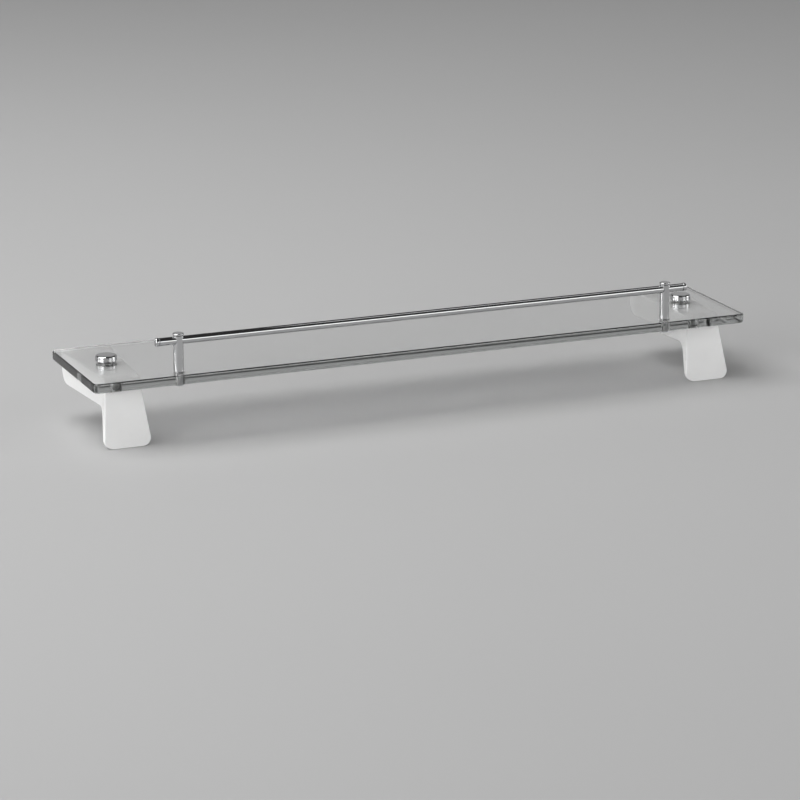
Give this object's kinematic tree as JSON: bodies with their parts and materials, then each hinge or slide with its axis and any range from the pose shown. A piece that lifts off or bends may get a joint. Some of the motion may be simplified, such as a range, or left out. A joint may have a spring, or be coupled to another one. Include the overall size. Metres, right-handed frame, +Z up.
{
  "type": "wall shelf",
  "caption": "Glass wall shelf on white leaf-shaped cast brackets with chrome clamp caps and a chrome gallery rail along its front edge.",
  "frame": {"origin": "on the wall plane, midway along the shelf, level with the underside of the glass", "axes": "+X to the right along the shelf as seen from the room, +Y into the wall, +Z up; the shelf stands out from the wall towards -Y"},
  "size_m": [0.6, 0.121, 0.0934],
  "materials": {
    "clear_glass": "clear float glass with polished rounded edges",
    "white_lacquer": "smooth satin white lacquer on cast metal",
    "bright_chrome": "polished bright chrome plate",
    "clear_plastic": "soft translucent plastic",
    "zinc_steel": "zinc-plated steel",
    "insert_brass": "turned brass"
  },
  "bodies": {
    "root": {"glass_shelf": "clear_glass", "bracket_left": "white_lacquer", "wall_plate_left": "zinc_steel", "grub_screw_left": "zinc_steel", "glass_pad_left": "clear_plastic", "threaded_insert_left": "insert_brass", "clamp_stud_left": "zinc_steel", "glass_bush_left": "clear_plastic", "clamp_washer_left": "clear_plastic", "clamp_cap_left": "bright_chrome", "post_left": "bright_chrome", "post_cap_left": "bright_chrome", "post_washer_upper_left": "clear_plastic", "post_sleeve_left": "clear_plastic", "post_washer_lower_left": "clear_plastic", "post_screw_left": "zinc_steel", "rail_end_left": "bright_chrome", "bracket_right": "white_lacquer", "wall_plate_right": "zinc_steel", "grub_screw_right": "zinc_steel", "glass_pad_right": "clear_plastic", "threaded_insert_right": "insert_brass", "clamp_stud_right": "zinc_steel", "glass_bush_right": "clear_plastic", "clamp_washer_right": "clear_plastic", "clamp_cap_right": "bright_chrome", "post_right": "bright_chrome", "post_cap_right": "bright_chrome", "post_washer_upper_right": "clear_plastic", "post_sleeve_right": "clear_plastic", "post_washer_lower_right": "clear_plastic", "post_screw_right": "zinc_steel", "rail_end_right": "bright_chrome", "rail": "bright_chrome"}
  },
  "joints": []
}
